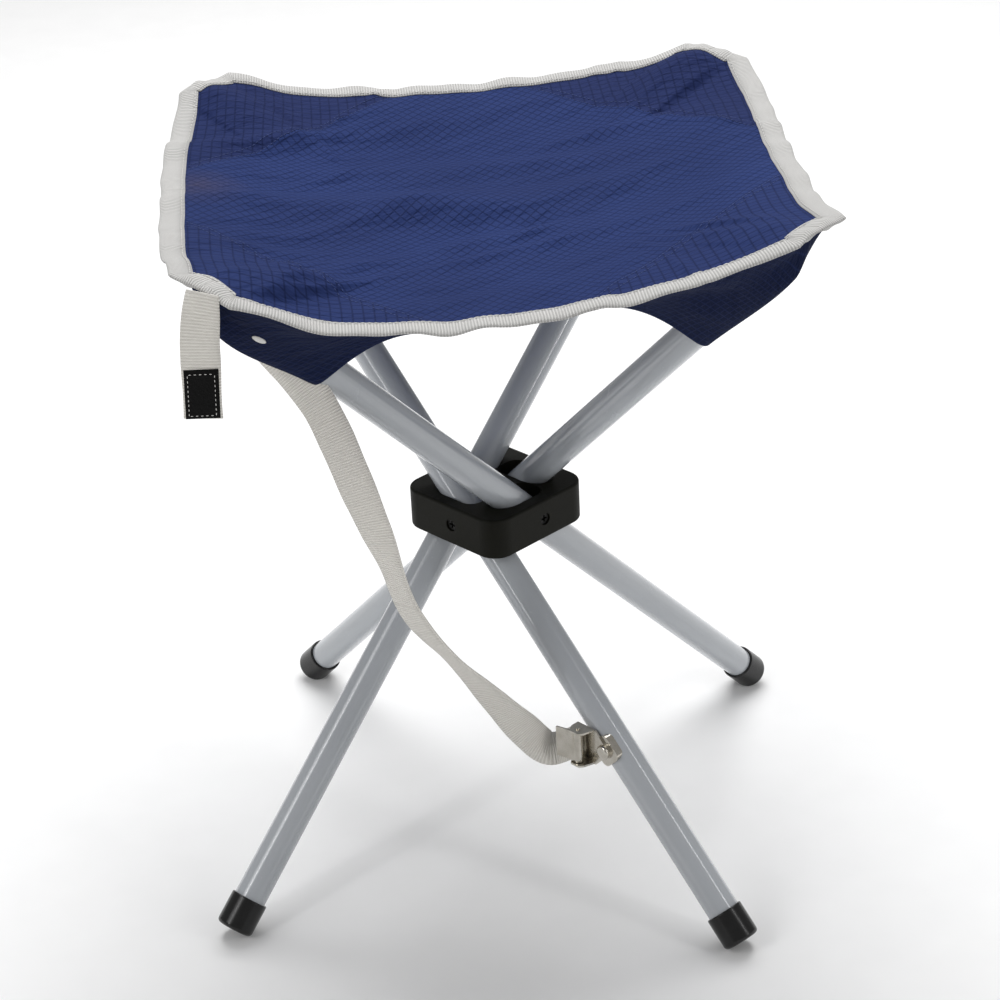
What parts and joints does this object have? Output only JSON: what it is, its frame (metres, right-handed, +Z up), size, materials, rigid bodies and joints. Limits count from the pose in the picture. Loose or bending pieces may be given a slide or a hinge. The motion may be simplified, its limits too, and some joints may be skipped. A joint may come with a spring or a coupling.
{
  "type": "camp stool",
  "caption": "Folding camp stool: crossed tube legs pivot in a moulded hub under a square cloth seat with bound edges, corner pockets, a carry strap and a closure strap.",
  "frame": {"origin": "bottom centre: on the floor, on the hub's vertical centre line", "axes": "+Z up; -Y towards the seat edge that carries the closure strap's corner at its left end; +X to the right of someone facing that edge"},
  "size_m": [0.3748, 0.3762, 0.4374],
  "materials": {
    "painted_tube": "glossy pale grey-blue enamel",
    "foot_rubber": "glossy black moulded plastic",
    "plug_plastic": "matte black plastic",
    "seat_cloth": "navy blue ripstop cloth",
    "binding_tape": "off-white woven tape",
    "webbing": "off-white ribbed webbing",
    "hook_tape": "black hook tape",
    "hub_plastic": "black moulded plastic with a fine grain",
    "screw_steel": "dark oxidised steel",
    "nickel_steel": "nickel-plated stamped steel"
  },
  "bodies": {
    "hub": {"hub_block": "hub_plastic", "pivot_screws": "screw_steel", "carry_strap": "webbing"},
    "leg_1": {"leg_tube_1": "painted_tube", "foot_cap_1": "foot_rubber", "top_plug_1": "plug_plastic", "corner_pocket_1": "seat_cloth"},
    "leg_2": {"leg_tube_2": "painted_tube", "foot_cap_2": "foot_rubber", "top_plug_2": "plug_plastic", "corner_pocket_2": "seat_cloth", "strap_bracket": "nickel_steel", "bracket_rivet": "nickel_steel", "buckle_frame": "nickel_steel", "lever_pin": "nickel_steel"},
    "leg_3": {"leg_tube_3": "painted_tube", "foot_cap_3": "foot_rubber", "top_plug_3": "plug_plastic", "corner_pocket_3": "seat_cloth"},
    "leg_4": {"leg_tube_4": "painted_tube", "foot_cap_4": "foot_rubber", "top_plug_4": "plug_plastic", "corner_pocket_4": "seat_cloth"},
    "seat_front": {"seat_panel_front": "seat_cloth", "seat_binding_front": "binding_tape"},
    "seat_right": {"seat_panel_right": "seat_cloth", "seat_binding_right": "binding_tape"},
    "seat_back": {"seat_panel_back": "seat_cloth", "seat_binding_back": "binding_tape"},
    "seat_left": {"seat_panel_left": "seat_cloth", "seat_binding_left": "binding_tape"},
    "closure": {"closure_strap": "webbing", "hook_patch": "hook_tape"},
    "lever": {"buckle_lever": "nickel_steel"}
  },
  "joints": [
    {"name": "leg_1_fold", "type": "hinge", "parent": "hub", "child": "leg_1", "pos_m": [0.01648, -0.01322, 0.2117], "axis": [-0.7071, 0.7071, 0], "range_deg": [0, 45], "deforming": ["corner_pocket_1", "carry_strap"]},
    {"name": "leg_2_fold", "type": "hinge", "parent": "hub", "child": "leg_2", "pos_m": [-0.01322, -0.01648, 0.2117], "axis": [0.7071, 0.7071, 0], "range_deg": [0, 45], "deforming": ["corner_pocket_2"]},
    {"name": "leg_3_fold", "type": "hinge", "parent": "hub", "child": "leg_3", "pos_m": [-0.01648, 0.01322, 0.2117], "axis": [0.7071, -0.7071, 0], "range_deg": [0, 45], "deforming": ["corner_pocket_3"]},
    {"name": "leg_4_fold", "type": "hinge", "parent": "hub", "child": "leg_4", "pos_m": [0.01322, 0.01648, 0.2117], "axis": [-0.7071, -0.7071, 0], "range_deg": [0, 45], "deforming": ["corner_pocket_4"]},
    {"name": "seat_front_gather", "type": "hinge", "parent": "hub", "child": "seat_front", "pos_m": [0.0041, -0.04416, 0.38516], "axis": [-0.9957, -0.0924, 0], "range_deg": [0, 89.8], "deforming": ["seat_panel_front", "seat_binding_front"]},
    {"name": "seat_right_gather", "type": "hinge", "parent": "hub", "child": "seat_right", "pos_m": [0.04416, 0.0041, 0.38516], "axis": [0.0924, -0.9957, 0], "range_deg": [0, 89.8], "deforming": ["seat_panel_right", "seat_binding_right"]},
    {"name": "seat_back_gather", "type": "hinge", "parent": "hub", "child": "seat_back", "pos_m": [-0.0041, 0.04416, 0.38516], "axis": [0.9957, 0.0924, 0], "range_deg": [0, 89.8], "deforming": ["seat_panel_back", "seat_binding_back"]},
    {"name": "seat_left_gather", "type": "hinge", "parent": "hub", "child": "seat_left", "pos_m": [-0.04416, -0.0041, 0.38516], "axis": [-0.0924, 0.9957, 0], "range_deg": [0, 89.8], "deforming": ["seat_panel_left", "seat_binding_left"]},
    {"name": "closure_strap_hang", "type": "hinge", "parent": "leg_1", "child": "closure", "pos_m": [-0.137, -0.1865, 0.429], "axis": [-0.7071, 0.7071, 0], "range_deg": [-45, 0]},
    {"name": "buckle_lever_turn", "type": "hinge", "parent": "leg_2", "child": "lever", "pos_m": [0.04301, -0.09632, 0.09998], "axis": [0, 0, 1], "range_deg": [0, 80]}
  ],
  "couplings": [
    {"joint": "leg_2_fold", "follows": "leg_1_fold", "ratio": 1},
    {"joint": "leg_3_fold", "follows": "leg_1_fold", "ratio": 1},
    {"joint": "leg_4_fold", "follows": "leg_1_fold", "ratio": 1},
    {"joint": "seat_front_gather", "follows": "leg_1_fold", "ratio": 1.9854},
    {"joint": "seat_right_gather", "follows": "leg_1_fold", "ratio": 1.9854},
    {"joint": "seat_back_gather", "follows": "leg_1_fold", "ratio": 1.9854},
    {"joint": "seat_left_gather", "follows": "leg_1_fold", "ratio": 1.9854},
    {"joint": "closure_strap_hang", "follows": "leg_1_fold", "ratio": -1}
  ]
}
